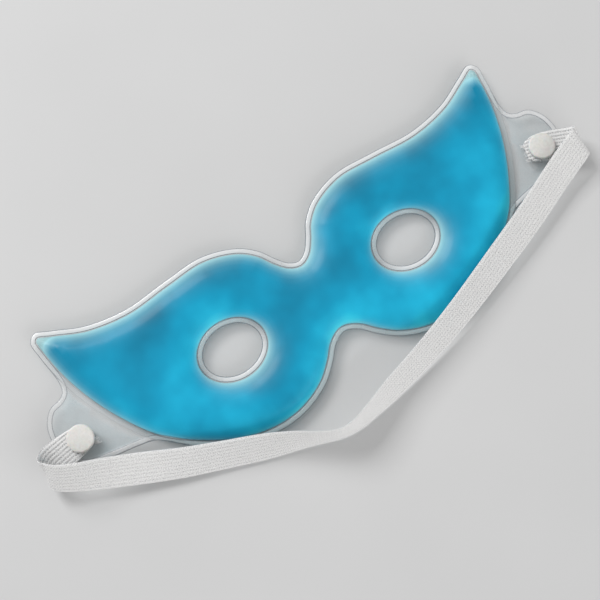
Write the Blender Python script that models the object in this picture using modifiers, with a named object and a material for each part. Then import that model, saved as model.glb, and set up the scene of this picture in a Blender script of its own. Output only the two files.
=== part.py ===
"""Cooling gel eye mask with an elastic head strap.

Two clear films are welded round a pad of blue gel, round two eye holes and round a tab at each
temple. A two-part snap rivet on each tab holds one end of the strap. The strap folds up and over
at each end and lies along the cheek side of the mask.

Frame: metres, +X along the mask, +Y to the brow, +Z up, away from the face. The origin is on the
flat underside of the nose bridge, midway between the eye holes.
"""

import math

import bmesh
import bpy
import numpy as np
from mathutils import Vector
from mathutils.geometry import delaunay_2d_cdt

MM = 0.001
GAP = 0.3 * MM  # clearance between pieces that touch

# Half outlines on the +X side, in millimetres; the other half mirrors them.
BROW_EDGE = [(0, 16.4), (3.5, 18), (7, 22.3), (10.5, 27.8), (17.5, 33.7), (31, 38.2), (48, 37.6),
             (66, 36.4), (82, 39.2), (94, 44.6), (100.6, 47.3), (103.6, 44.8), (103.3, 38)]
TEMPLE_WELD = [(101.2, 26), (97, 13), (91, 0.5)]
TAB_EDGE = [(102, 26), (102.9, 21.9), (105.3, 20.2), (110, 19), (114, 14.2), (115.4, 7),
            (113.8, -0.5), (108.5, -6.5), (98.5, -9.2), (88, -11)]
CHEEK_EDGE = [(82.3, -12.6), (69.5, -23.5), (54.5, -31.8), (40, -35), (28, -34), (17, -29.5),
              (10, -23.8), (5, -18.6), (0, -16.4)]

EYE = (39.8 * MM, 0.9 * MM)  # centre of the +X eye hole
EYE_HOLE = (11.9 * MM, 9.6 * MM)  # its half width and half height
RIVET = (105.3 * MM, 3.0 * MM)  # axis of the +X snap rivet

FILM = 0.4 * MM
WELD_WIDTH = 2.2 * MM
TEMPLE_WELD_MARGIN = 1.5 * MM  # the weld between pad and tab stops this far from the film's edge
RIM_BOTTOM = 2.3 * MM  # underside of the welded rim, held up by the gel's belly and the sockets
RIM_TOP = RIM_BOTTOM + 2 * FILM + GAP
PAD_TOP = 8.0 * MM
TOP_RISE = 11.0 * MM  # how far inside the weld the top reaches its full height
BELLY_RISE = 5.5 * MM  # how far inside the weld the underside reaches the table
FILM_RINGS = (WELD_WIDTH, 4.5 * MM, 8.0 * MM)  # depths at which a film's triangles line up
GRID_MARGIN = 2.0 * MM  # from the innermost ring to the first grid point

GEL_INSET = 4.0 * MM
GEL_COVER = 1.6 * MM  # from the top film's outside down to the gel, its slope allowed for
GEL_BED = 1.0 * MM  # from the back film's underside up to the gel
GEL_RINGS = (6.5 * MM, 9.0 * MM)

STRAP_WIDTH = 12.7 * MM
STRAP_THICKNESS = 0.9 * MM
STRAP_STEP = 2.6 * MM
STRAP_END_X = 115.9 * MM  # past the tab's edge, where the part that swings starts
SEAM_GAP = 0.6 * MM
STRAP_ON_TAB = RIM_TOP + GAP + STRAP_THICKNESS / 2

PIN_RADIUS = 1.1 * MM
PIN_HOLE = PIN_RADIUS + GAP
CAP_RADIUS = 5.35 * MM
CAP_BOTTOM = RIM_TOP + 2 * GAP + STRAP_THICKNESS
CAP_HEIGHT = 1.8 * MM
SOCKET_RADIUS = 4.6 * MM
SOCKET_RING = 3.2 * MM
SOCKET_TOP = RIM_BOTTOM - GAP

OUTLINE_STEP = 5.0 * MM
GRID_STEP = 9.0 * MM
GRID_REACH = (12, 6)  # grid points to each side of the origin, along and across the mask
ROW_PITCH = 0.87  # of the step, which makes the staggered rows' triangles even
EYE_SIDES = 20
PIN_HOLE_SIDES = 12
TURN_STEPS = 20
SLACK = 0.3 * MM  # how much nearer to another edge a ring's point may lie

# The strap's middle line from the left rivet to the right one. Each station is x, y, z in
# millimetres, then the azimuth and elevation in degrees of the way across to its upper edge.
STRAP_ROUTE = [
    (-101.6, 3.2, 4.15, 91, 0), (-105.3, 3.0, 4.15, 92, 0), (-109.5, 2.6, 4.15, 95, 0),
    (-114.5, 1.9, 4.4, 96, 4), (-119.3, 0.8, 5.6, 88, 18), (-122.0, -1.6, 8.0, 74, 34),
    (-119.6, -5.2, 9.4, 64, 40), (-113.0, -9.0, 8.4, 62, 36), (-105.7, -12.3, 6.9, 64, 28),
    (-92.7, -18.3, 5.3, 65, 22), (-78.0, -25.2, 4.9, 66, 29), (-64.0, -30.9, 4.7, 66, 36),
    (-50.0, -36.4, 4.9, 66, 42), (-38.0, -41.2, 5.9, 71, 58), (-30.0, -45.0, 6.5, 80, 70),
    (-23.0, -47.9, 6.7, 90, 75), (-15.5, -48.4, 6.6, 104, 71), (-6.6, -46.7, 6.2, 116, 62),
    (4.0, -44.3, 5.6, 117, 51), (21.0, -40.1, 5.6, 116, 44), (41.0, -34.0, 6.0, 116, 37),
    (66.0, -25.0, 6.3, 115, 30), (85.3, -17.7, 6.4, 114, 27), (103.5, -10.0, 6.8, 112, 25),
    (111.5, -6.8, 7.5, 111, 24), (116.4, -4.9, 8.3, 105, 26), (118.8, -3.7, 6.9, 95, 20),
    (116.9, -2.3, 5.0, 80, 6), (112.5, 0.0, 4.2, 68, 0), (108.5, 1.7, 4.15, 70, 0),
    (105.3, 3.0, 4.15, 76, 0), (99.8, 4.4, 4.15, 78, 0),
]

MATERIALS = {  # colour, roughness, transmission
    "clear_film": ((0.86, 0.91, 0.93), 0.15, 0.6),
    "blue_gel": ((0.02, 0.45, 0.68), 0.25, 0.3),
    "white_elastic": ((0.86, 0.86, 0.85), 0.85, 0.0),
    "white_snap": ((0.90, 0.89, 0.86), 0.4, 0.0),
}


def remove_everything():
    for item in list(bpy.data.objects):
        bpy.data.objects.remove(item, do_unlink=True)


def collection(name):
    made = bpy.data.collections.new(name)
    bpy.context.scene.collection.children.link(made)
    return made


def material(name, slot):
    colour, roughness, transmission = MATERIALS[slot]
    made = bpy.data.materials.new(name)
    made.use_nodes = True
    shader = made.node_tree.nodes["Principled BSDF"]
    shader.inputs["Base Color"].default_value = (*colour, 1)
    shader.inputs["Roughness"].default_value = roughness
    shader.inputs["Transmission Weight"].default_value = transmission
    return made


def new_piece(name, mesh, group, slot):
    piece = bpy.data.objects.new(name, mesh)
    group.objects.link(piece)
    mesh.materials.append(material(name, slot))
    return piece


def smooth_path(controls, spacing, closed=False):
    """Points about `spacing` apart on a centripetal Catmull-Rom curve through the controls."""
    p = [np.array(c, float) for c in controls]
    if closed:
        p = [p[-1]] + p + p[:2]
    else:
        p = [2 * p[0] - p[1]] + p + [2 * p[-1] - p[-2]]
    points = []
    for a, b, c, d in zip(p, p[1:], p[2:], p[3:]):
        t1 = math.sqrt(np.linalg.norm(b - a))
        t2 = t1 + math.sqrt(np.linalg.norm(c - b))
        t3 = t2 + math.sqrt(np.linalg.norm(d - c))
        pieces = max(1, round(np.linalg.norm(c - b) / spacing))
        for i in range(pieces):
            t = t1 + (t2 - t1) * i / pieces
            ab = (a * (t1 - t) + b * t) / t1
            bc = (b * (t2 - t) + c * (t - t1)) / (t2 - t1)
            cd = (c * (t3 - t) + d * (t - t2)) / (t3 - t2)
            abc = (ab * (t2 - t) + bc * t) / t2
            bcd = (bc * (t3 - t) + cd * (t - t1)) / (t3 - t1)
            points.append((abc * (t2 - t) + bcd * (t - t1)) / (t2 - t1))
    if not closed:
        points.append(p[-2])
    return np.array(points)


def mirrored_loop(half, spacing):
    """A closed outline from the half on the +X side, clockwise from the nose bridge."""
    right = [(x * MM, y * MM) for x, y in half]
    left = [(-x, y) for x, y in reversed(right[1:-1])]
    return smooth_path(right + left, spacing, closed=True)


def oval(centre, radii, sides):
    angles = np.arange(sides) * 2 * math.pi / sides
    return np.stack([centre[0] + radii[0] * np.cos(angles), centre[1] + radii[1] * np.sin(angles)], 1)


def distance_to(points, loop):
    """How far each point is from the closed outline."""
    start, end = loop, np.roll(loop, -1, axis=0)
    along = end - start
    offset = points[:, None, :] - start[None, :, :]
    share = (offset * along).sum(2) / (along * along).sum(1)
    share = np.clip(share, 0, 1)
    nearest = start + share[:, :, None] * along
    return np.linalg.norm(points[:, None, :] - nearest, axis=2).min(1)


def is_inside(points, loop):
    start, end = loop, np.roll(loop, -1, axis=0)
    x, y = points[:, :1], points[:, 1:]
    spans = (start[:, 1] > y) != (end[:, 1] > y)
    rise = np.where(end[:, 1] == start[:, 1], 1, end[:, 1] - start[:, 1])
    crossing = start[:, 0] + (y - start[:, 1]) * (end[:, 0] - start[:, 0]) / rise
    return (spans & (x < crossing)).sum(1) % 2 == 1


class Outline:
    """The mask seen from above: its edges, holes and the depth of any point inside the welds."""

    def __init__(self):
        self.body = mirrored_loop(BROW_EDGE + TEMPLE_WELD + CHEEK_EDGE, OUTLINE_STEP)
        self.film = mirrored_loop(BROW_EDGE + TAB_EDGE + CHEEK_EDGE, OUTLINE_STEP)
        self.eyes = [oval((side * EYE[0], EYE[1]), EYE_HOLE, EYE_SIDES) for side in (-1, 1)]
        self.pins = [oval((side * RIVET[0], RIVET[1]), (PIN_HOLE, PIN_HOLE), PIN_HOLE_SIDES)
                     for side in (-1, 1)]

    def depth(self, points):
        """Distance inside the body's outline and outside the eye holes, nought on the tabs."""
        nearest = distance_to(points, self.body)
        for eye in self.eyes:
            nearest = np.minimum(nearest, distance_to(points, eye))
        return np.where(is_inside(points, self.body), nearest, 0)

    def inset(self, amount):
        """The body's outline moved inwards, without the stretches that other edges come nearer to."""
        tangent = np.roll(self.body, -1, axis=0) - np.roll(self.body, 1, axis=0)
        tangent /= np.linalg.norm(tangent, axis=1)[:, None]
        moved = self.body + amount * np.stack([tangent[:, 1], -tangent[:, 0]], 1)
        return moved[self.depth(moved) > amount - 0.1 * MM]

    def eye_rings(self, amount):
        radii = (EYE_HOLE[0] + amount, EYE_HOLE[1] + amount)
        rings = [oval((side * EYE[0], EYE[1]), radii, EYE_SIDES) for side in (-1, 1)]
        return [ring[self.depth(ring) > amount - SLACK] for ring in rings]

    def grid(self, margin):
        """Points in staggered rows that lie deeper than the margin."""
        rows = []
        for j in range(-GRID_REACH[1], GRID_REACH[1] + 1):
            for i in range(-GRID_REACH[0], GRID_REACH[0] + 1):
                rows.append(((i + 0.5 * (j % 2)) * GRID_STEP, j * GRID_STEP * ROW_PITCH))
        points = np.array(rows)
        return points[self.depth(points) > margin]


def top_height(depth):
    share = np.clip((depth - WELD_WIDTH) / TOP_RISE, 0, 1)
    return RIM_TOP + (PAD_TOP - RIM_TOP) * (1 - (1 - share) ** 2)


def belly_height(depth):
    share = np.clip((depth - WELD_WIDTH) / BELLY_RISE, 0, 1)
    return RIM_BOTTOM * (1 - share) ** 2


def triangulate(outer, holes, inner_points):
    """Points and triangles that fill the outer loop, with the holes left open."""
    points, edges = [], []
    for loop in [outer, *holes]:
        first = len(points)
        points += [Vector(p) for p in loop]
        edges += [(first + i, first + (i + 1) % len(loop)) for i in range(len(loop))]
    points += [Vector(p) for p in inner_points]
    verts, _, faces, *_ = delaunay_2d_cdt(points, edges, [], 0, 0.01 * MM)
    flat = np.array([(v.x, v.y) for v in verts])
    centres = np.array([flat[list(f)].mean(0) for f in faces])
    keep = is_inside(centres, outer)
    for hole in holes:
        keep &= ~is_inside(centres, hole)
    return flat, [f for f, kept in zip(faces, keep) if kept]


def build_film(name, outline, height, facing_up, group):
    """A film as an open surface with the height of its outside, thickened inwards."""
    weld = outline.body[distance_to(outline.body, outline.film) > TEMPLE_WELD_MARGIN]
    rings = [outline.inset(amount) for amount in FILM_RINGS]
    for amount in FILM_RINGS:
        rings += outline.eye_rings(amount)
    inner = np.concatenate([weld, *rings, outline.grid(FILM_RINGS[-1] + GRID_MARGIN)])
    flat, faces = triangulate(outline.film, outline.eyes + outline.pins, inner)
    heights = height(outline.depth(flat))
    mesh = bpy.data.meshes.new(name)
    mesh.from_pydata([(x, y, z) for (x, y), z in zip(flat, heights)], [], faces)
    shell = bmesh.new()
    shell.from_mesh(mesh)
    bmesh.ops.delete(shell, geom=[v for v in shell.verts if not v.link_faces], context="VERTS")
    bmesh.ops.recalc_face_normals(shell, faces=shell.faces)
    if (sum(f.normal.z for f in shell.faces) > 0) != facing_up:
        bmesh.ops.reverse_faces(shell, faces=shell.faces)
    shell.to_mesh(mesh)
    shell.free()
    piece = new_piece(name, mesh, group, "clear_film")
    wall = piece.modifiers.new("film thickness", "SOLIDIFY")
    wall.thickness = FILM
    wall.offset = -1
    mesh.shade_smooth()
    return piece


def build_gel(outline, group):
    """The gel fills the space between the films; its top and underside share one triangulation."""
    edge = outline.inset(GEL_INSET)
    eyes = outline.eye_rings(GEL_INSET)
    inner = [outline.inset(amount) for amount in GEL_RINGS] + outline.eye_rings(GEL_RINGS[0])
    inner.append(outline.grid(GEL_RINGS[-1] + GRID_MARGIN))
    flat, faces = triangulate(edge, eyes, np.concatenate(inner))
    depth = outline.depth(flat)
    top, bed = top_height(depth) - GEL_COVER, belly_height(depth) + GEL_BED
    body = bmesh.new()
    upper = [body.verts.new((x, y, z)) for (x, y), z in zip(flat, top)]
    lower = [body.verts.new((x, y, z)) for (x, y), z in zip(flat, bed)]
    for face in faces:
        body.faces.new([upper[i] for i in face])
        body.faces.new([lower[i] for i in reversed(face)])
    sides = [e for e in body.edges if e.is_boundary]
    partner = dict(zip(upper, lower))
    for e in sides:
        a, b = e.verts
        if a in partner and b in partner:
            body.faces.new([a, b, partner[b], partner[a]])
    bmesh.ops.delete(body, geom=[v for v in body.verts if not v.link_faces], context="VERTS")
    bmesh.ops.recalc_face_normals(body, faces=body.faces)
    mesh = bpy.data.meshes.new("gel_fill")
    body.to_mesh(mesh)
    body.free()
    mesh.shade_smooth()
    return new_piece("gel_fill", mesh, group, "blue_gel")


def strap_rows():
    """The ribbon from end to end, as rows of its lower edge, middle and upper edge."""
    route = smooth_path(STRAP_ROUTE, STRAP_STEP / MM)
    middle = route[:, :3] * MM
    azimuth, elevation = np.radians(route[:, 3]), np.radians(route[:, 4])
    across = np.stack([np.cos(azimuth) * np.cos(elevation),
                       np.sin(azimuth) * np.cos(elevation), np.sin(elevation)], 1)
    ahead = np.gradient(middle, axis=0)
    ahead /= np.linalg.norm(ahead, axis=1)[:, None]
    across -= (across * ahead).sum(1)[:, None] * ahead
    across *= STRAP_WIDTH / 2 / np.linalg.norm(across, axis=1)[:, None]
    return np.stack([middle - across, middle, middle + across], 1)


def split_rows(rows, reach):
    """The rows before the ribbon first gets this far out, cut off square at that distance."""
    outside = np.abs(rows[:, :, 0]) > reach
    seam = []
    for column, passed in zip(rows.transpose(1, 0, 2), outside.T):
        after = int(np.argmax(passed))
        near, far = column[after - 1], column[after]
        seam.append(near + (far - near) * (reach - abs(near[0])) / (abs(far[0]) - abs(near[0])))
    before = int(np.argmax(outside.any(1)))
    after = int(np.argmax(outside.all(1)))
    return [*rows[:before], np.array(seam)], [np.array(seam), *rows[after:]]


def build_ribbon(name, rows, group):
    """A strip of faces through the rows, thickened both ways to the elastic's thickness."""
    strip = bmesh.new()
    placed = [[strip.verts.new(point) for point in row] for row in rows]
    for near, far in zip(placed, placed[1:]):
        for i in (0, 1):
            strip.faces.new([near[i], near[i + 1], far[i + 1], far[i]])
    mesh = bpy.data.meshes.new(name)
    strip.to_mesh(mesh)
    strip.free()
    mesh.shade_smooth()
    piece = new_piece(name, mesh, group, "white_elastic")
    wall = piece.modifiers.new("elastic thickness", "SOLIDIFY")
    wall.thickness = STRAP_THICKNESS
    wall.offset = 0
    return piece


def punch_pin_hole(piece, side, cutters):
    bpy.ops.mesh.primitive_cylinder_add(vertices=16, radius=PIN_HOLE, depth=6 * MM,
                                        location=(side * RIVET[0], RIVET[1], STRAP_ON_TAB))
    cutter = bpy.context.active_object
    cutter.name = piece.name + "_pin_cutter"
    for owner in cutter.users_collection:
        owner.objects.unlink(cutter)
    cutters.objects.link(cutter)
    cutter.hide_render = True
    cutter.display_type = "WIRE"
    hole = piece.modifiers.new("pin hole", "BOOLEAN")
    hole.operation = "DIFFERENCE"
    hole.object = cutter


def build_strap(group, cutters, swing_axis):
    """The ribbon in three lengths: an end held on each tab, and the loop that swings."""
    rows = strap_rows()
    left_end = split_rows(rows, STRAP_END_X)[0]
    right_end = split_rows(rows[::-1], STRAP_END_X)[0]
    loop = split_rows(rows, STRAP_END_X + SEAM_GAP)[1]
    loop = split_rows(np.array(loop[::-1]), STRAP_END_X + SEAM_GAP)[1]
    piece = build_ribbon("strap_loop", loop, group)
    piece.parent = swing_axis
    piece.matrix_parent_inverse = swing_axis.matrix_world.inverted()
    punch_pin_hole(build_ribbon("strap_left_end", left_end, group), -1, cutters)
    punch_pin_hole(build_ribbon("strap_right_end", right_end, group), 1, cutters)


def turned(name, profile, place, group, closed):
    """A round piece from its half section, given as radius and height down its outer side."""
    mesh = bpy.data.meshes.new(name)
    count = len(profile)
    edges = [(i, (i + 1) % count) for i in range(count if closed else count - 1)]
    mesh.from_pydata([(r, 0, z) for r, z in profile], edges, [])
    piece = new_piece(name, mesh, group, "white_snap")
    piece.location = place
    screw = piece.modifiers.new("turn", "SCREW")
    screw.steps = TURN_STEPS
    screw.render_steps = TURN_STEPS
    screw.use_merge_vertices = True
    screw.merge_threshold = 0.01 * MM
    screw.use_smooth_shade = True
    return piece


def build_rivet(side, name, group):
    """A snap rivet: the cap's pin goes through the ribbon and the tab into the socket below."""
    place = (side * RIVET[0], RIVET[1], 0)
    crown = CAP_BOTTOM + CAP_HEIGHT
    cap = [(0, crown), (0.55 * CAP_RADIUS, crown - 0.15 * MM), (0.88 * CAP_RADIUS, crown - 0.6 * MM),
           (CAP_RADIUS, crown - 1.2 * MM), (CAP_RADIUS - 0.1 * MM, CAP_BOTTOM),
           (PIN_RADIUS, CAP_BOTTOM), (PIN_RADIUS, 0.9 * MM), (0.6 * PIN_RADIUS, 0.4 * MM),
           (0, 0.4 * MM)]
    socket = [(PIN_HOLE, SOCKET_TOP), (SOCKET_RADIUS - 0.2 * MM, SOCKET_TOP),
              (SOCKET_RADIUS, SOCKET_TOP - 0.3 * MM), (SOCKET_RADIUS, 1.1 * MM), (SOCKET_RING, 1.0 * MM),
              (SOCKET_RING, 0.2 * MM), (SOCKET_RING - 0.2 * MM, 0), (PIN_HOLE, 0)]
    turned(name + "_snap_cap", cap, place, group, closed=False)
    turned(name + "_snap_socket", socket, place, group, closed=True)


def main():
    remove_everything()
    group = collection("gel_eye_mask")
    cutters = collection("cutters")
    swing_axis = bpy.data.objects.new("strap_swing_axis", None)
    swing_axis.location = (0, RIVET[1], STRAP_ON_TAB)
    group.objects.link(swing_axis)
    bpy.context.view_layer.update()
    outline = Outline()
    build_film("front_film", outline, top_height, True, group)
    build_film("back_film", outline, belly_height, False, group)
    build_gel(outline, group)
    build_strap(group, cutters, swing_axis)
    build_rivet(-1, "left", group)
    build_rivet(1, "right", group)


main()
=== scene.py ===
"""The looks of the gel eye mask: clear welded pouch, blue gel, woven elastic strap and snap caps.

Same frame as the CAD model: metres, +X along the mask, +Y to the brow, +Z up.
"""

import math
import random

import bmesh
import bpy
import numpy as np
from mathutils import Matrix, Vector, noise
from mathutils.geometry import delaunay_2d_cdt


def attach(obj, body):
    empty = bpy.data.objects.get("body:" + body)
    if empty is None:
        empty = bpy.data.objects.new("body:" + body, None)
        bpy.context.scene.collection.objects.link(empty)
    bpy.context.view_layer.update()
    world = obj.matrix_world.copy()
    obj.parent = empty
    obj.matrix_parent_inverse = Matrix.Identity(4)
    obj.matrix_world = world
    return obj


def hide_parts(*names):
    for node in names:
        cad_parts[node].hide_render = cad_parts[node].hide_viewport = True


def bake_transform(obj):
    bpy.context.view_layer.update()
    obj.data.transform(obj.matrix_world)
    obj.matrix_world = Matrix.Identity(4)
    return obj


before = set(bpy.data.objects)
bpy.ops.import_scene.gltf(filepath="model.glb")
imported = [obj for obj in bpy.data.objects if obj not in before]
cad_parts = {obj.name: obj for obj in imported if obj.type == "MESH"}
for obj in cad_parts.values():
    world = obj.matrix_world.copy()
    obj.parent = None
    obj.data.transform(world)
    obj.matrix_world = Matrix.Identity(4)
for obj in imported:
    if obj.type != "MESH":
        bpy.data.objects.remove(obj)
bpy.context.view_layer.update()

MM = 0.001

# Half outlines on the +X side, in millimetres; the other half mirrors them.
BROW_EDGE = [(0, 16.4), (3.5, 18), (7, 22.3), (10.5, 27.8), (17.5, 33.7), (31, 38.2), (48, 37.6),
             (66, 36.4), (82, 39.2), (94, 44.6), (100.6, 47.3), (103.6, 44.8), (103.3, 38)]
TEMPLE_WELD = [(101.2, 26), (97, 13), (91, 0.5)]
TAB_EDGE = [(102, 26), (102.9, 21.9), (105.3, 20.2), (110, 19), (114, 14.2), (115.4, 7),
            (113.8, -0.5), (108.5, -6.5), (98.5, -9.2), (88, -11)]
CHEEK_EDGE = [(82.3, -12.6), (69.5, -23.5), (54.5, -31.8), (40, -35), (28, -34), (17, -29.5),
              (10, -23.8), (5, -18.6), (0, -16.4)]

EYE = (39.8 * MM, 0.9 * MM)
EYE_HOLE = (11.9 * MM, 9.6 * MM)
RIVET = (105.3 * MM, 3.0 * MM)
PIN_HOLE = 1.4 * MM

WELD_WIDTH = 2.2 * MM
WELD_LEVEL = 2.85 * MM  # where the two films meet
FILM_PAIR = 0.5 * MM  # thickness of the flat tab
BEAD_RISE = 0.5 * MM
RAMP_REACH = 4.0  # millimetres that the weld's colour ramps span
PAD_TOP = 8.0 * MM
TOP_RISE = 11.0 * MM
BELLY_RISE = 5.5 * MM
GEL_CLEARANCE = 0.12 * MM
GEL_INSET = WELD_WIDTH + 0.25 * MM
TIP = (101.5 * MM, 45.5 * MM)
TIP_CLEAR = 3.0 * MM  # the gel leaves the tips of the pouch empty
TIP_FADE = 6.5 * MM
LUMP_HEIGHT = 0.35 * MM
LUMP_SIZE = 26 * MM

SKIN_FADE = 0.15 * MM  # how far from an edge the film reaches its full thickness

OUTLINE_STEP = 1.2 * MM
EYE_SIDES = 60
PIN_HOLE_SIDES = 20
GRID_STEP = 2.6 * MM
GRID_REACH = (118 * MM, 50 * MM)
ROW_PITCH = 0.87  # from one staggered row to the next, in grid steps
GRID_DEPTH = 10.5 * MM  # the grid fills what lies deeper than the rings
TAB_GRID_GAPS = (1.0 * MM, 3.6 * MM)  # from the grid in a tab to the body and to the film's edge
TAB_RING_GAP = 0.2 * MM
RING_SLACK = 0.06 * MM  # how much nearer to another edge a ring's point may lie
WELD_GAP = 0.5 * MM  # further than this from the film's edge, the body's outline crosses a tab
MERGE_DISTANCE = 0.005 * MM
GEL_RINGS = [d * MM for d in (2.8, 3.4)]
RIM_RINGS = [d * MM for d in (0.15, 0.4, 0.8, 1.2, 1.6, 1.9, 2.1, 2.4, 3.2)]
DOME_RINGS = [d * MM for d in (4.2, 5.6, 7.4, 9.6)]

LIGHT_WAY = np.array([-0.22, 0.975])  # the way to the window, seen from above

STRAP_WIDTH = 12.7 * MM
STRAP_END_WIDTH = 10.8 * MM
STRAP_THICKNESS = 0.9 * MM
STRAP_STEP = 0.8 * MM
STRAP_COLUMNS = 45
STRAP_RIBS = 9
STITCH_LENGTH = 0.95  # millimetres
FACE_OFFSET = STRAP_RIBS * 3  # keeps the two faces apart in the weave's own coordinates
RIB_RISE = 0.035 * MM
TAPER_PLACES = [d * MM for d in (0, 1.5, 4, 12)]  # from a cut end, where the strap widens
TAPER_WIDTHS = [0.55 * STRAP_END_WIDTH, 0.8 * STRAP_END_WIDTH, STRAP_END_WIDTH, STRAP_WIDTH]
EDGE_TURN = math.pi / 2 * 0.985  # keeps the outermost columns just short of the edge's middle
# Stations on the strap's middle line: x, y, z in millimetres, then the azimuth and elevation in
# degrees of the way across to the upper edge. Most of those between the two folds were worked out
# by a separate script and not chosen by hand, as report.md says.
STRAP_ROUTE = [
    (-101.6, 3.2, 4.15, 91, 0), (-105.3, 3.0, 4.15, 92, 0), (-109.5, 2.6, 4.15, 95, 0),
    (-114.5, 1.9, 4.4, 96, 4), (-119.3, 0.8, 5.6, 88, 18), (-122.0, -1.6, 8.0, 74, 34),
    (-119.6, -5.2, 9.4, 64, 40), (-113.0, -9.0, 8.4, 62, 36), (-105.7, -12.3, 6.9, 64, 28),
    (-92.7, -18.3, 5.3, 65, 22), (-78.0, -25.2, 4.9, 66, 29), (-64.0, -30.9, 4.7, 66, 36),
    (-50.0, -36.4, 4.9, 66, 42), (-38.0, -41.2, 5.9, 71, 58), (-30.0, -45.0, 6.5, 80, 70),
    (-23.0, -47.9, 6.7, 90, 75), (-15.5, -48.4, 6.6, 104, 71), (-6.6, -46.7, 6.2, 116, 62),
    (4.0, -44.3, 5.6, 117, 51), (21.0, -40.1, 5.6, 116, 44), (41.0, -34.0, 6.0, 116, 37),
    (66.0, -25.0, 6.3, 115, 30), (85.3, -17.7, 6.4, 114, 27), (103.5, -10.0, 6.8, 112, 25),
    (111.5, -6.8, 7.5, 111, 24), (116.4, -4.9, 8.3, 105, 26), (118.8, -3.7, 6.9, 95, 20),
    (116.9, -2.3, 5.0, 80, 6), (112.5, 0.0, 4.2, 68, 0), (108.5, 1.7, 4.15, 70, 0),
    (105.3, 3.0, 4.15, 76, 0), (98.9, 4.5, 4.15, 78, 0),
]
TWIST_ENDS = (120.2 * MM, 118.2 * MM)  # where the left and the right end have turned fully

CAP_RADIUS = 5.35 * MM
CAP_BOTTOM = 4.9 * MM
CAP_TOP = 6.7 * MM
PIN_RADIUS = 1.1 * MM
PIN_TIP = 0.4 * MM
CAP_SIDES = 64
CROWN_DROP = 0.22 * MM
RIM_ROUND = 0.75 * MM
RIM_WOBBLE = 0.012  # unevenness of the moulded rim, as a share of the radius
THREAD_RADIUS = 0.09 * MM
THREAD_COUNT = 26
FRAYS = {  # row, the way the threads point, their reach, and their span in shares of the width
    "left": (0, (0.9, -0.4, 0), 2.4 * MM, (-0.45, -0.2)),
    "right": (-1, (-0.97, 0.1, 0), 1.3 * MM, (-0.4, 0.3)),
}

CAMERA_PLACE = Vector((-43.9, -53.1, 382.3)) * MM
CAMERA_TARGET = Vector((-7.4, 3.6, 0)) * MM
FLOOR_REACH = 15.0
FLOOR_LEVEL = -0.03 * MM
LIGHTS = [  # name, place, size and power
    ("window", (-0.35, 1.2, 0.9), (0.75, 0.55), 18.0),
    ("room", (0.3, -1.35, 0.55), (1.8, 0.9), 12.0),
]
WORLD_LIGHT = 0.46


# ---------------------------------------------------------------- paths and outlines

def smooth_path(controls, spacing, closed=False):
    """Points about `spacing` apart on a centripetal Catmull-Rom curve through the controls."""
    p = [np.array(c, float) for c in controls]
    if closed:
        p = [p[-1]] + p + p[:2]
    else:
        p = [2 * p[0] - p[1]] + p + [2 * p[-1] - p[-2]]
    points = []
    for a, b, c, d in zip(p, p[1:], p[2:], p[3:]):
        t1 = math.sqrt(np.linalg.norm(b - a))
        t2 = t1 + math.sqrt(np.linalg.norm(c - b))
        t3 = t2 + math.sqrt(np.linalg.norm(d - c))
        pieces = max(1, round(np.linalg.norm(c - b) / spacing))
        for i in range(pieces):
            t = t1 + (t2 - t1) * i / pieces
            ab = (a * (t1 - t) + b * t) / t1
            bc = (b * (t2 - t) + c * (t - t1)) / (t2 - t1)
            cd = (c * (t3 - t) + d * (t - t2)) / (t3 - t2)
            abc = (ab * (t2 - t) + bc * t) / t2
            bcd = (bc * (t3 - t) + cd * (t - t1)) / (t3 - t1)
            points.append((abc * (t2 - t) + bcd * (t - t1)) / (t2 - t1))
    if not closed:
        points.append(p[-2])
    return np.array(points)


def mirrored_loop(half, spacing):
    """A closed outline from the half on the +X side, clockwise from the nose bridge."""
    right = [(x * MM, y * MM) for x, y in half]
    left = [(-x, y) for x, y in reversed(right[1:-1])]
    return smooth_path(right + left, spacing, closed=True)


def oval(centre, radii, sides):
    angles = np.arange(sides) * 2 * math.pi / sides
    return np.stack([centre[0] + radii[0] * np.cos(angles), centre[1] + radii[1] * np.sin(angles)], 1)


def eye_ovals(growth=0.0):
    """The edges of both eye holes, each grown outwards."""
    radii = (EYE_HOLE[0] + growth, EYE_HOLE[1] + growth)
    return [oval((side * EYE[0], EYE[1]), radii, EYE_SIDES) for side in (-1, 1)]


def nearest_on(points, loop):
    """The distance of each point from the closed outline, and the way from the outline to it."""
    start, end = loop, np.roll(loop, -1, axis=0)
    along = end - start
    length_squared = (along * along).sum(1)
    distance, way = np.empty(len(points)), np.empty((len(points), 2))
    for first in range(0, len(points), 1000):
        some = points[first:first + 1000]
        offset = some[:, None, :] - start[None, :, :]
        share = np.clip((offset * along).sum(2) / length_squared, 0, 1)
        away = offset - share[:, :, None] * along
        gaps = np.linalg.norm(away, axis=2)
        best = gaps.argmin(1)
        rows = np.arange(len(some))
        distance[first:first + 1000] = gaps[rows, best]
        way[first:first + 1000] = away[rows, best]
    return distance, way / np.maximum(distance, 1e-9)[:, None]


def is_inside(points, loop):
    inside = np.zeros(len(points), bool)
    start, end = loop, np.roll(loop, -1, axis=0)
    for a, b in zip(start, end):
        spans = (a[1] > points[:, 1]) != (b[1] > points[:, 1])
        rise = b[1] - a[1] or 1
        inside ^= spans & (points[:, 0] < a[0] + (points[:, 1] - a[1]) * (b[0] - a[0]) / rise)
    return inside


def smooth_step(share):
    share = np.clip(share, 0, 1)
    return share * share * (3 - 2 * share)


def inward(loop, amount):
    """A clockwise loop moved inwards."""
    tangent = np.roll(loop, -1, axis=0) - np.roll(loop, 1, axis=0)
    tangent /= np.linalg.norm(tangent, axis=1)[:, None]
    return loop + amount * np.stack([tangent[:, 1], -tangent[:, 0]], 1)


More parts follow.
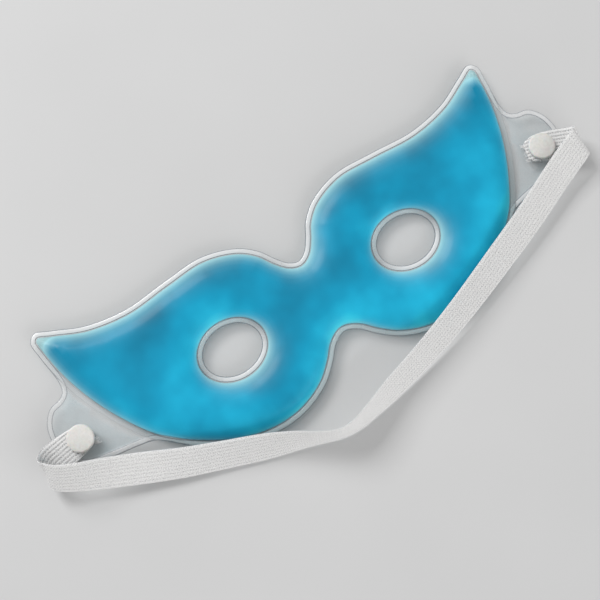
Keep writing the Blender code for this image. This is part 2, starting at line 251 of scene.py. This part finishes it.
class Outline:
    """The mask seen from above: its edges, and how far points are from them."""

    def __init__(self):
        self.body = mirrored_loop(BROW_EDGE + TEMPLE_WELD + CHEEK_EDGE, OUTLINE_STEP)
        self.film = mirrored_loop(BROW_EDGE + TAB_EDGE + CHEEK_EDGE, OUTLINE_STEP)
        self.eyes = eye_ovals()
        self.pins = [oval((side * RIVET[0], RIVET[1]), (PIN_HOLE, PIN_HOLE), PIN_HOLE_SIDES)
                     for side in (-1, 1)]

    def to_eyes(self, points):
        """Distance from the nearer eye hole's edge, and the way from it."""
        left, left_way = nearest_on(points, self.eyes[0])
        right, right_way = nearest_on(points, self.eyes[1])
        nearer = left < right
        return np.where(nearer, left, right), np.where(nearer[:, None], left_way, right_way)

    def to_body(self, points):
        """Distance from the body's outline, positive inside it, and the way to the point."""
        distance, way = nearest_on(points, self.body)
        return np.where(is_inside(points, self.body), distance, -distance), way

    def depth(self, points):
        """Distance inside the body's outline and outside the eye holes, and the way inwards."""
        body, body_way = self.to_body(points)
        eye, eye_way = self.to_eyes(points)
        nearer = body < eye
        return np.where(nearer, body, eye), np.where(nearer[:, None], body_way, eye_way)

    def rings(self, amounts):
        """Points at set depths inside the body and round the eye holes."""
        rings = []
        for amount in amounts:
            for loop in [inward(self.body, amount), *eye_ovals(amount)]:
                rings.append(loop[self.depth(loop)[0] > amount - RING_SLACK])
        return rings

    def tab_rings(self):
        """Points at set depths inside the film's edge, outside the body."""
        rings = []
        for amount in RIM_RINGS:
            loop = inward(self.film, amount)
            clear = self.to_body(loop)[0] < -TAB_RING_GAP
            clear &= nearest_on(loop, self.film)[0] > amount - RING_SLACK
            rings.append(loop[clear])
        return rings

    def grid(self):
        """Points in staggered rows over the whole mask."""
        columns, rows = int(GRID_REACH[0] / GRID_STEP), int(GRID_REACH[1] / GRID_STEP / ROW_PITCH)
        return np.array([((i + 0.5 * (j % 2)) * GRID_STEP, j * GRID_STEP * ROW_PITCH)
                         for j in range(-rows, rows + 1) for i in range(-columns, columns + 1)])


def triangulate(outer, holes, inner_points):
    """Points and triangles that fill the outer loop, with the holes left open."""
    points, edges = [], []
    for loop in [outer, *holes]:
        first = len(points)
        points += [Vector(p) for p in loop]
        edges += [(first + i, first + (i + 1) % len(loop)) for i in range(len(loop))]
    points += [Vector(p) for p in inner_points]
    verts, _, faces, *_ = delaunay_2d_cdt(points, edges, [], 0, MERGE_DISTANCE)
    flat = np.array([(v.x, v.y) for v in verts])
    centres = np.array([flat[list(f)].mean(0) for f in faces])
    keep = is_inside(centres, outer)
    for hole in holes:
        keep &= ~is_inside(centres, hole)
    return flat, [f for f, kept in zip(faces, keep) if kept]


# ---------------------------------------------------------------- heights of the pouch

def lumps(points):
    """Slow unevenness of a pad filled with gel."""
    return np.array([noise.noise(Vector((x / LUMP_SIZE, y / LUMP_SIZE, 0.3))) for x, y in points])


def bead(distance):
    """The rounded ridge that a weld leaves beside an edge."""
    share = np.clip(distance / WELD_WIDTH, 0, 1)
    return BEAD_RISE * np.sqrt(np.sin(math.pi * share).clip(0))


def top_height(outline, points):
    depth = outline.depth(points)[0]
    edge = nearest_on(points, outline.film)[0]
    ridge = np.maximum(bead(depth), bead(edge))
    share = np.clip((depth - WELD_WIDTH) / TOP_RISE, 0, 1)
    full = PAD_TOP - WELD_LEVEL - FILM_PAIR / 2
    dome = full * (1 - (1 - share) ** 2) ** 0.85 + LUMP_HEIGHT * lumps(points) * share
    return WELD_LEVEL + skin_height(outline, points, edge) + ridge + dome


def bottom_height(outline, points):
    depth = outline.depth(points)[0]
    edge = nearest_on(points, outline.film)[0]
    ridge = 0.6 * np.maximum(bead(depth), bead(edge))
    share = np.clip((depth - WELD_WIDTH) / BELLY_RISE, 0, 1)
    rim = WELD_LEVEL - skin_height(outline, points, edge) - ridge
    return rim * (1 - share) ** 2


def skin_height(outline, points, edge):
    """Half of the film pair's thickness, nought at the outer edge and at each hole's edge."""
    hole = outline.to_eyes(points)[0]
    for pin in outline.pins:
        hole = np.minimum(hole, nearest_on(points, pin)[0])
    return FILM_PAIR / 2 * np.clip(edge / SKIN_FADE, 0, 1) * np.clip(hole / SKIN_FADE, 0, 1)


# ---------------------------------------------------------------- mesh helpers

def add_object(name, data):
    made = bpy.data.objects.new(name, data)
    bpy.context.scene.collection.objects.link(made)
    return made


def new_piece(name, mesh, material, body, slot, *stands_for):
    piece = add_object(name, mesh)
    mesh.materials.append(material)
    mesh.shade_smooth()
    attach(piece, body)
    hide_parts(*stands_for)
    return piece


def add_values(mesh, name, values):
    layer = mesh.attributes.new(name, "FLOAT", "POINT")
    layer.data.foreach_set("value", np.asarray(values, np.float32))


def sheet_mesh(name, flat, heights, faces, facing_up):
    mesh = bpy.data.meshes.new(name)
    mesh.from_pydata([(x, y, z) for (x, y), z in zip(flat, heights)], [], faces)
    if (mesh.polygons[0].normal.z > 0) != facing_up:
        mesh.flip_normals()
    return mesh


# ---------------------------------------------------------------- materials

def new_material(name):
    material = bpy.data.materials.new(name)
    material.use_nodes = True
    tree = material.node_tree
    return material, tree, tree.nodes["Principled BSDF"]


def node(tree, kind, **values):
    """A node with its properties set; values named input_N go on input number N."""
    made = tree.nodes.new(kind)
    for key, value in values.items():
        if key.startswith("input_"):
            made.inputs[int(key[6:])].default_value = value
        else:
            setattr(made, key, value)
    return made


def join(tree, source, target, output=0, socket=0):
    tree.links.new(source.outputs[output], target.inputs[socket])


def ramp(tree, stops, source=None, output=0):
    """A colour ramp through (position, colour) stops."""
    made = tree.nodes.new("ShaderNodeValToRGB")
    elements = made.color_ramp.elements
    while len(elements) < len(stops):
        elements.new(0.5)
    for element, (position, colour) in zip(elements, stops):
        element.position = position
        element.color = (*colour, 1) if len(colour) == 3 else colour
    if source:
        join(tree, source, made, output)
    return made


def greys(*stops):
    """Colour stops from (position, grey level) pairs."""
    return [(position, (level, level, level)) for position, level in stops]


def object_noise(tree, scale, detail=3.0, roughness=0.5):
    place = tree.nodes.new("ShaderNodeTexCoord")
    made = node(tree, "ShaderNodeTexNoise")
    made.inputs["Scale"].default_value = scale
    made.inputs["Detail"].default_value = detail
    made.inputs["Roughness"].default_value = roughness
    join(tree, place, made, 3, 0)
    return made


def math_node(tree, operation, a, b):
    """A maths node whose operands are numbers or (node, output) pairs."""
    made = node(tree, "ShaderNodeMath", operation=operation)
    for index, value in enumerate((a, b)):
        if isinstance(value, tuple):
            join(tree, value[0], made, value[1], index)
        else:
            made.inputs[index].default_value = value
    return made


def seam_bands(tree, attribute_name):
    """(dark line, weld) shares beside the edge that the attribute gives the distance from; the dark line is
    painted shade along the weld's border.
    """
    line, weld, clear = (1, 1, 0), (0, 1, 0), (0, 0, 0)
    stops = [(0.0, line), (0.075, line), (0.105, weld), (0.455, weld), (0.485, line), (0.52, line),
             (0.55, clear)]
    distance = node(tree, "ShaderNodeAttribute", attribute_name=attribute_name)
    share = math_node(tree, "DIVIDE", (distance, 2), RAMP_REACH)
    inside = math_node(tree, "GREATER_THAN", (distance, 2), -0.02)
    separate = tree.nodes.new("ShaderNodeSeparateColor")
    join(tree, ramp(tree, stops, share), separate)
    return [math_node(tree, "MULTIPLY", (separate, channel), (inside, 0)) for channel in (0, 1)]


def film_material(name, strength):
    """Clear vinyl: nearly unseen where flat; the weld is faintly milky with painted light on it, whitest
    where it faces the window, and dark lines of painted shade run along its borders.
    """
    material, tree, shader = new_material(name)
    dark, weld = seam_bands(tree, "edge_mm")
    rim = node(tree, "ShaderNodeAttribute", attribute_name="rim")
    for attribute_name in ("body_mm", "eye_mm"):
        other_dark, other_weld = seam_bands(tree, attribute_name)
        if attribute_name == "body_mm":
            other_dark = math_node(tree, "MULTIPLY", (other_dark, 0), (rim, 2))
            other_weld = math_node(tree, "MULTIPLY", (other_weld, 0), (rim, 2))
        dark = math_node(tree, "MAXIMUM", (dark, 0), (other_dark, 0))
        weld = math_node(tree, "MAXIMUM", (weld, 0), (other_weld, 0))
    lit = node(tree, "ShaderNodeAttribute", attribute_name="lit")
    # painted light: the weld is painted whiter where it faces the window and lighter where it faces away
    milk_and_highlight_stops = [(0.2, (0.74, 0.86, 0.88)), (0.5, (0.88, 0.91, 0.92)), (0.8, (0.95, 0.96, 0.97))]
    milk_and_highlight = ramp(tree, milk_and_highlight_stops, lit, 2)
    tab = node(tree, "ShaderNodeAttribute", attribute_name="tab")
    tinted = node(tree, "ShaderNodeMix", data_type="RGBA")
    unwelded = math_node(tree, "SUBTRACT", 1.0, (weld, 0))
    join(tree, math_node(tree, "MULTIPLY", (tab, 2), (unwelded, 0)), tinted)
    join(tree, milk_and_highlight, tinted, 0, 6)
    tinted.inputs[7].default_value = (0.62, 0.74, 0.78, 1)
    colour = node(tree, "ShaderNodeMix", data_type="RGBA")
    join(tree, dark, colour, 0, 0)
    join(tree, tinted, colour, 2, 6)
    # painted shade: the colour of the dark lines along the weld's borders
    colour.inputs[7].default_value = (0.14, 0.17, 0.20, 1)
    join(tree, colour, shader, 2, shader.inputs.find("Base Color"))
    # painted highlight: the weld covers more where it faces the window
    milkiness_and_highlight = ramp(tree, greys((0.1, 0.36), (0.5, 0.16), (0.7, 0.26), (0.95, 0.62)), lit, 2)
    weld_cover = math_node(tree, "MULTIPLY", (weld, 0), (milkiness_and_highlight, 0))
    # painted shade: the dark border lines are painted stronger along the edges that face the window
    line_cover = ramp(tree, greys((0.2, 0.38), (0.9, 0.74)), lit, 2)
    dark_cover = math_node(tree, "MULTIPLY", (dark, 0), (line_cover, 0))
    streaks = object_noise(tree, 70, 4)
    haze = ramp(tree, greys((0.35, 0.12), (0.7, 0.38)), streaks)
    haze_cover = math_node(tree, "MULTIPLY", (haze, 0), (tab, 2))
    cover = math_node(tree, "MAXIMUM", (haze_cover, 0), (weld_cover, 0))
    cover = math_node(tree, "MAXIMUM", (cover, 0), (dark_cover, 0))
    cover = math_node(tree, "MULTIPLY", (cover, 0), strength)
    join(tree, cover, shader, 0, shader.inputs.find("Alpha"))
    shader.inputs["Roughness"].default_value = 0.25
    shader.inputs["Specular IOR Level"].default_value = 0.5
    gloss = math_node(tree, "MULTIPLY_ADD", (dark, 0), -0.33)
    gloss.inputs[2].default_value = 0.35
    join(tree, gloss, shader, 0, shader.inputs.find("Coat Weight"))
    shader.inputs["Coat Roughness"].default_value = 0.12
    return material


def gel_material():
    """Blue gel, pale where it is thin, with painted light: brighter near the edges that face away from the
    window, and a pale sheen painted wider along the edges that face it.
    """
    material, tree, shader = new_material("blue_gel")
    painted_light = node(tree, "ShaderNodeAttribute", attribute_name="painted_light")
    cover = node(tree, "ShaderNodeAttribute", attribute_name="cover")
    clouds = object_noise(tree, 42, 2.5, 0.5)
    drift = math_node(tree, "MULTIPLY_ADD", (clouds, 0), 1.0)
    drift.inputs[2].default_value = -0.5
    mixed = math_node(tree, "ADD", (painted_light, 2), (drift, 0))
    # painted light and random clouds pick the blue; the brightest stop carries the painted glow
    blue = ramp(tree, [(0.0, (0.005, 0.15, 0.26)), (0.26, (0.006, 0.25, 0.42)), (0.45, (0.007, 0.33, 0.54)),
                       (0.72, (0.016, 0.51, 0.77)), (1.0, (0.04, 0.78, 1.0))], mixed)
    # pale where the gel is thin; along the edges that face the window the pale band is also a painted sheen
    thin = node(tree, "ShaderNodeMix", data_type="RGBA")
    join(tree, cover, thin, 2, 0)
    thin.inputs[6].default_value = (0.46, 0.79, 0.83, 1)
    join(tree, blue, thin, 0, 7)
    join(tree, thin, shader, 2, shader.inputs.find("Base Color"))
    solidity = ramp(tree, greys((0.0, 0.5), (0.25, 0.95), (1.0, 1.0)), cover, 2)
    join(tree, solidity, shader, 0, shader.inputs.find("Alpha"))
    shader.inputs["Roughness"].default_value = 0.6
    shader.inputs["Specular IOR Level"].default_value = 0.1
    shader.inputs["Coat Weight"].default_value = 0.12
    shader.inputs["Coat Roughness"].default_value = 0.22
    return material


def elastic_material():
    """White knitted elastic: lengthwise ribs of slanting stitches, grainy, with smooth selvedges."""
    material, tree, shader = new_material("white_elastic")
    place = node(tree, "ShaderNodeUVMap", uv_map="weave")
    split = tree.nodes.new("ShaderNodeSeparateXYZ")
    join(tree, place, split)
    rib_turn = math_node(tree, "MULTIPLY", (split, 1), 2 * math.pi * STRAP_RIBS / (STRAP_WIDTH / MM))
    rib = math_node(tree, "COSINE", (rib_turn, 0), 0)
    slant = math_node(tree, "MULTIPLY", (rib, 0), 1.9)
    grain = node(tree, "ShaderNodeTexNoise")
    grain.inputs["Scale"].default_value = 2.4
    grain.inputs["Detail"].default_value = 5
    grain.inputs["Roughness"].default_value = 0.65
    join(tree, place, grain)
    stitch_turn = math_node(tree, "MULTIPLY", (split, 0), 2 * math.pi / STITCH_LENGTH)
    shaken = math_node(tree, "MULTIPLY_ADD", (grain, 0), 7.0)
    join(tree, stitch_turn, shaken, 0, 2)
    stitch = math_node(tree, "SINE", (math_node(tree, "ADD", (shaken, 0), (slant, 0)), 0), 0)
    inner_face = math_node(tree, "GREATER_THAN", (split, 1), FACE_OFFSET / 2)
    rib_depth = math_node(tree, "MULTIPLY_ADD", (inner_face, 0), 0.09)
    rib_depth.inputs[2].default_value = 0.03
    weave = math_node(tree, "MULTIPLY", (stitch, 0), 0.05)
    weave = math_node(tree, "ADD", (weave, 0), (math_node(tree, "MULTIPLY", (rib, 0), (rib_depth, 0)), 0))
    weave = math_node(tree, "ADD", (weave, 0), (grain, 0))
    colour = ramp(tree, [(0.33, (0.42, 0.42, 0.425)), (0.46, (0.76, 0.755, 0.75)),
                         (0.60, (0.94, 0.935, 0.925))], weave)
    join(tree, colour, shader, 0, shader.inputs.find("Base Color"))
    bump = node(tree, "ShaderNodeBump")
    bump.inputs["Strength"].default_value = 0.9
    bump.inputs["Distance"].default_value = 0.4 * MM
    join(tree, weave, bump, 0, bump.inputs.find("Height"))
    join(tree, bump, shader, 0, shader.inputs.find("Normal"))
    shader.inputs["Roughness"].default_value = 0.85
    shader.inputs["Subsurface Weight"].default_value = 0.35
    shader.inputs["Subsurface Radius"].default_value = (1.0, 1.0, 1.0)
    shader.inputs["Subsurface Scale"].default_value = 0.8 * MM
    return material


def snap_material():
    """Moulded white plastic, faintly uneven."""
    material, tree, shader = new_material("white_snap")
    mottle = object_noise(tree, 900, 4)
    colour = ramp(tree, [(0.3, (0.66, 0.65, 0.62)), (0.7, (0.76, 0.75, 0.72))], mottle)
    join(tree, colour, shader, 0, shader.inputs.find("Base Color"))
    bump = node(tree, "ShaderNodeBump")
    bump.inputs["Strength"].default_value = 0.25
    bump.inputs["Distance"].default_value = 0.06 * MM
    join(tree, object_noise(tree, 1600, 3), bump, 0, bump.inputs.find("Height"))
    join(tree, bump, shader, 0, shader.inputs.find("Normal"))
    shader.inputs["Roughness"].default_value = 0.45
    shader.inputs["Subsurface Weight"].default_value = 0.15
    shader.inputs["Subsurface Scale"].default_value = 0.8 * MM
    return material


def floor_material():
    material, tree, shader = new_material("pale_floor")
    mottle = object_noise(tree, 8, 3)
    colour = ramp(tree, [(0.3, (0.60, 0.60, 0.60)), (0.7, (0.63, 0.63, 0.63))], mottle)
    join(tree, colour, shader, 0, shader.inputs.find("Base Color"))
    shader.inputs["Roughness"].default_value = 0.7
    shader.inputs["Specular IOR Level"].default_value = 0.12
    return material


# ---------------------------------------------------------------- pouch and gel

def build_films(outline):
    """The two clear films. They meet along the outer edge and round each hole."""
    points = outline.grid()
    depth = outline.depth(points)[0]
    edge = nearest_on(points, outline.film)[0]
    in_tab = is_inside(points, outline.film) & (outline.to_body(points)[0] < -TAB_GRID_GAPS[0])
    in_tab &= edge > TAB_GRID_GAPS[1]
    inner = [points[(depth > GRID_DEPTH) | in_tab], *outline.tab_rings()]
    inner += outline.rings(RIM_RINGS + DOME_RINGS)
    temple = outline.body[nearest_on(outline.body, outline.film)[0] > WELD_GAP]
    flat, faces = triangulate(outline.film, outline.eyes + outline.pins, np.concatenate([temple, *inner]))
    edge_distance = nearest_on(flat, outline.film)[0]
    values = {
        "edge_mm": edge_distance / MM,
        "body_mm": np.clip(outline.to_body(flat)[0] / MM, -4, 4),
        "eye_mm": outline.to_eyes(flat)[0] / MM,
        # how much each weld faces the window; it sets the painted light on the weld
        "lit": 0.5 - 0.5 * outline.depth(flat)[1] @ LIGHT_WAY,
        "tab": np.clip(-outline.to_body(flat)[0] / MM, 0, 1),
        "rim": 1 - 0.55 * np.clip((edge_distance - outline.to_body(flat)[0]) / MM - 0.2, 0, 1),
    }
    for name, height, up, strength, node_name in (
            ("clear_front_film", top_height, True, 1.0, "front_film"),
            ("clear_back_film", bottom_height, False, 0.25, "back_film")):
        mesh = sheet_mesh(name, flat, height(outline, flat), faces, up)
        for key, value in values.items():
            add_values(mesh, key, value)
        new_piece(name, mesh, film_material(name, strength), "mask", "clear_film", node_name)


def spread(values, faces, passes):
    """The values averaged with their neighbours' a number of times."""
    pairs = np.array([(f[i], f[(i + 1) % len(f)]) for f in faces for i in range(len(f))])
    counts = np.bincount(pairs[:, 0], minlength=len(values))
    for _ in range(passes):
        sums = np.bincount(pairs[:, 0], values[pairs[:, 1]], minlength=len(values))
        values = np.where(counts > 0, (values + sums) / (1 + counts), values)
    return values


def gel_values(outline, points, faces):
    """How full the gel's colour is at each point, and the painted light there, set by which way the nearest
    edges face the window.
    """
    depth, way = outline.depth(points)
    lean = way @ LIGHT_WAY  # one where the near edge is on the side away from the window
    inside = np.clip((depth - WELD_WIDTH) / MM, 0, None)
    # painted sheen: the pale band is painted wider where the near edge faces the window
    fade = 0.55 + 2.1 * np.clip(0.5 - 0.5 * lean, 0, 1) ** 1.5
    share = 1 - np.exp(-((inside + 0.3) / fade) ** 1.15)
    tips = [np.linalg.norm(points - (side * TIP[0], TIP[1]), axis=1) for side in (-1, 1)]
    share *= smooth_step((np.minimum(*tips) - TIP_CLEAR) / TIP_FADE)
    body, body_way = outline.to_body(points)
    eye, eye_way = outline.to_eyes(points)
    # painted light: near an edge that faces the window the gel is painted darker, near one that faces away
    # brighter
    from_body = np.exp(-np.clip(body / MM - 3, 0, None) / 6) * (body_way @ LIGHT_WAY)
    from_eye = np.exp(-np.clip(eye / MM - 3, 0, None) / 5) * (eye_way @ LIGHT_WAY)
    # painted glow along the edges away from the window
    glow = np.exp(-inside / 2.5) * np.clip(lean, 0, 1)  # light gathers at the edge it leaves by
    broad = spread(0.37 + 0.37 * from_body + 0.22 * from_eye, faces, 10)
    return share, broad + 0.35 * glow


def build_gel(outline):
    """One closed filling that stays just clear of both films."""
    edge = inward(outline.body, GEL_INSET)
    points = outline.grid()
    inner = outline.rings(GEL_RINGS + DOME_RINGS)
    inner.append(points[outline.depth(points)[0] > GRID_DEPTH])
    flat, faces = triangulate(edge, eye_ovals(GEL_INSET), np.concatenate(inner))
    top = top_height(outline, flat) - GEL_CLEARANCE
    bed = bottom_height(outline, flat) + GEL_CLEARANCE
    body = bmesh.new()
    upper = [body.verts.new((x, y, z)) for (x, y), z in zip(flat, top)]
    lower = [body.verts.new((x, y, z)) for (x, y), z in zip(flat, bed)]
    for face in faces:
        body.faces.new([upper[i] for i in face])
        body.faces.new([lower[i] for i in reversed(face)])
    partner = dict(zip(upper, lower))
    for side in [e for e in body.edges if e.is_boundary and e.verts[0] in partner]:
        a, b = side.verts
        body.faces.new([a, b, partner[b], partner[a]])
    bmesh.ops.recalc_face_normals(body, faces=body.faces)
    mesh = bpy.data.meshes.new("gel_body")
    body.to_mesh(mesh)
    body.free()
    cover, painted_light = gel_values(outline, flat, faces)
    add_values(mesh, "cover", np.concatenate([cover, cover]))
    add_values(mesh, "painted_light", np.concatenate([painted_light, painted_light]))
    piece = new_piece("gel_body", mesh, gel_material(), "mask", "blue_gel", "gel_fill")


# ---------------------------------------------------------------- strap

def strap_sections():
    """Each section's middle point, the way across to its upper edge, and the way off its face."""
    route = smooth_path(STRAP_ROUTE, STRAP_STEP / MM)
    middle = route[:, :3] * MM
    azimuth, elevation = np.radians(route[:, 3]), np.radians(route[:, 4])
    across = np.stack([np.cos(azimuth) * np.cos(elevation),
                       np.sin(azimuth) * np.cos(elevation), np.sin(elevation)], 1)
    ahead = np.gradient(middle, axis=0)
    ahead /= np.linalg.norm(ahead, axis=1)[:, None]
    across -= (across * ahead).sum(1)[:, None] * ahead
    across /= np.linalg.norm(across, axis=1)[:, None]
    return middle, across, np.cross(ahead, across)


def strap_rings():
    """Closed rings round the ribbon, ribbed on both faces, and the weave's coordinates of each point."""
    middle, across, face_way = strap_sections()
    steps = np.linalg.norm(np.diff(middle, axis=0), axis=1)
    along = np.concatenate([[0], np.cumsum(steps)])
    from_end = np.minimum(along, along[-1] - along)
    width = np.interp(from_end, TAPER_PLACES, TAPER_WIDTHS)
    shares = np.sin(np.linspace(-EDGE_TURN, EDGE_TURN, STRAP_COLUMNS)) / math.sin(EDGE_TURN)
    rib = RIB_RISE * np.cos(shares * math.pi * STRAP_RIBS)
    half_thick = STRAP_THICKNESS / 2 * np.sqrt(1 - np.abs(shares) ** 14) + rib * (1 - np.abs(shares) ** 8)
    rings = []
    for i, (point, way, off) in enumerate(zip(middle, across, face_way)):
        ring = []
        for sign in (1, -1):
            order = range(STRAP_COLUMNS) if sign > 0 else range(STRAP_COLUMNS - 2, 0, -1)
            for j in order:
                aside = shares[j] * width[i] / 2
                place = point + way * aside + off * sign * half_thick[j]
                ring.append((place, (along[i] / MM, aside / MM + FACE_OFFSET * (sign < 0))))
        rings.append(ring)
    return rings, middle, across


def strap_mesh(name, rings):
    """A closed tube through the rings, with a sharp border round each end so that lengths match."""
    body = bmesh.new()
    weave = body.loops.layers.uv.new("weave")
    places, placed = {}, []
    for ring in rings:
        verts = [body.verts.new(place) for place, _ in ring]
        places.update(zip(verts, (uv for _, uv in ring)))
        placed.append(verts)
    count = len(placed[0])
    for near, far in zip(placed, placed[1:]):
        for j in range(count):
            body.faces.new([near[j], near[(j + 1) % count], far[(j + 1) % count], far[j]])
    for cap in (body.faces.new(reversed(placed[0])), body.faces.new(placed[-1])):
        for edge in cap.edges:
            edge.smooth = False
    for face in body.faces:
        for loop in face.loops:
            loop[weave].uv = places[loop.vert]
    bmesh.ops.recalc_face_normals(body, faces=body.faces)
    mesh = bpy.data.meshes.new(name)
    body.to_mesh(mesh)
    body.free()
    mesh.shade_smooth()
    return mesh


def build_strap(material):
    """One ribbon between its cut ends: the loop, and at each end a length that twists as it swings."""
    random.seed(4)
    rings, middle, across = strap_rings()
    left_turn, right_turn = int(middle[:, 0].argmin()), int(middle[:, 0].argmax())
    loop = strap_mesh("elastic_strap", rings[left_turn:right_turn + 1])
    strap = new_piece("elastic_strap", loop, material, "strap", "white_elastic", "strap_loop")
    for side, name, part, reach in ((-1, "left", rings[:left_turn + 1], TWIST_ENDS[0]),
                                    (1, "right", rings[right_turn:], TWIST_ENDS[1])):
        fray = build_fray(name, middle, across, material)
        piece = add_object(name + "_strap_end", strap_mesh(name + "_strap_end", part))
        piece.data.materials.append(material)
        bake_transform(piece)
        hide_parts(f"strap_{name}_end")


def build_fray(name, middles, acrosses, material):
    """Loose threads at a cut end of the strap."""
    row, outward, reach, span = FRAYS[name]
    end, across, outward = middles[row], acrosses[row], np.array(outward)
    name += "_fray"
    curve = bpy.data.curves.new(name, "CURVE")
    curve.dimensions = "3D"
    curve.bevel_depth = THREAD_RADIUS
    curve.bevel_resolution = 2
    for _ in range(THREAD_COUNT):
        start = end + across * random.uniform(*span) * STRAP_END_WIDTH
        start = start + np.array([0, 0, random.uniform(-0.15, 0.3)]) * MM
        length = random.uniform(0.3, 1.0) * reach
        side = across * random.uniform(-0.8, 0.8) * MM
        lift = np.array([0, 0, random.uniform(-0.1, 0.6)]) * MM
        thread = curve.splines.new("BEZIER")
        thread.bezier_points.add(2)
        stops = (start - outward * 0.6 * MM, start + outward * length * 0.5 + lift,
                 start + outward * length + side)
        for point, stop in zip(thread.bezier_points, stops):
            point.co = stop
            point.handle_left_type = point.handle_right_type = "AUTO"
    piece = add_object(name, curve)
    curve.materials.append(material)
    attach(piece, "mask")
    return piece


# ---------------------------------------------------------------- snap caps

def build_cap(side, name, material):
    """A domed cap with a rounded rim, and the pin below it."""
    radius, top, bottom = CAP_RADIUS, CAP_TOP, CAP_BOTTOM
    crown = [(radius * 0.86 * k / 8, top - CROWN_DROP * (k / 8) ** 2) for k in range(9)]
    centre = (radius - RIM_ROUND, top - CROWN_DROP - RIM_ROUND)
    turns = [math.radians(90 - 15 * k) for k in range(1, 9)]
    rim = [(centre[0] + RIM_ROUND * math.cos(a), centre[1] + RIM_ROUND * math.sin(a)) for a in turns]
    skirt = [(radius - 0.12 * MM, bottom + 0.15 * MM), (radius - 0.3 * MM, bottom)]
    pin = [(PIN_RADIUS + 0.3 * MM, bottom), (PIN_RADIUS, bottom - 0.3 * MM), (PIN_RADIUS, PIN_TIP + 0.4 * MM),
           (0.6 * PIN_RADIUS, PIN_TIP), (0, PIN_TIP)]
    profile = crown + rim + skirt + pin
    body = bmesh.new()
    rings = []
    for r, z in profile:
        if r < 1e-7:
            rings.append([body.verts.new((side * RIVET[0], RIVET[1], z))])
            continue
        ring = []
        for k in range(CAP_SIDES):
            angle = 2 * math.pi * k / CAP_SIDES
            x, y = math.cos(angle), math.sin(angle)
            wobble = 1 + RIM_WOBBLE * noise.noise(Vector((3 * x, 3 * y, side))) * (r > 3 * MM)
            ring.append(body.verts.new((side * RIVET[0] + r * wobble * x, RIVET[1] + r * wobble * y, z)))
        rings.append(ring)
    for near, far in zip(rings, rings[1:]):
        for k in range(CAP_SIDES):
            following = (k + 1) % CAP_SIDES
            if len(near) == 1:
                body.faces.new([near[0], far[k], far[following]])
            elif len(far) == 1:
                body.faces.new([near[k], far[0], near[following]])
            else:
                body.faces.new([near[k], far[k], far[following], near[following]])
    bmesh.ops.recalc_face_normals(body, faces=body.faces)
    mesh = bpy.data.meshes.new(name + "_cap")
    body.to_mesh(mesh)
    body.free()
    new_piece(name + "_cap", mesh, material, name + "_snap", "white_snap", name + "_snap_cap")


def dress_socket(name, material):
    """The CAD's socket keeps its shape and takes the snap's material."""
    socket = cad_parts[name + "_snap_socket"]
    for slot in socket.material_slots:
        slot.material = material


# ---------------------------------------------------------------- stage

def build_camera():
    data = bpy.data.cameras.new("camera")
    data.lens = 60
    data.sensor_width = 36
    data.clip_start = 0.01
    camera = add_object("camera", data)
    camera.location = CAMERA_PLACE
    camera.rotation_euler = (CAMERA_TARGET - CAMERA_PLACE).to_track_quat("-Z", "Y").to_euler()
    bpy.context.scene.camera = camera


def build_floor():
    mesh = bpy.data.meshes.new("floor")
    signs = ((-1, -1), (1, -1), (1, 1), (-1, 1))
    corners = [(x * FLOOR_REACH, y * FLOOR_REACH, FLOOR_LEVEL) for x, y in signs]
    mesh.from_pydata(corners, [], [(0, 1, 2, 3)])
    mesh.materials.append(floor_material())
    add_object("floor", mesh)


def area_light(name, place, size, power):
    """A rectangular light that faces the object."""
    data = bpy.data.lights.new(name, "AREA")
    data.shape = "RECTANGLE"
    data.size, data.size_y = size
    data.energy = power
    light = add_object(name, data)
    light.location = place
    light.rotation_euler = (-Vector(place)).to_track_quat("-Z", "Y").to_euler()


def build_lights():
    for values in LIGHTS:
        area_light(*values)
    world = bpy.data.worlds.new("studio")
    world.use_nodes = True
    world.node_tree.nodes["Background"].inputs[0].default_value = (1.0, 1.0, 1.0, 1)
    world.node_tree.nodes["Background"].inputs[1].default_value = WORLD_LIGHT
    bpy.context.scene.world = world
    bpy.context.scene.view_settings.view_transform = "Standard"


def main():
    build_camera()
    build_floor()
    build_lights()
    outline = Outline()
    build_films(outline)
    build_gel(outline)
    build_strap(elastic_material())
    snap = snap_material()
    for side, name in ((-1, "left"), (1, "right")):
        build_cap(side, name, snap)
        dress_socket(name, snap)


main()
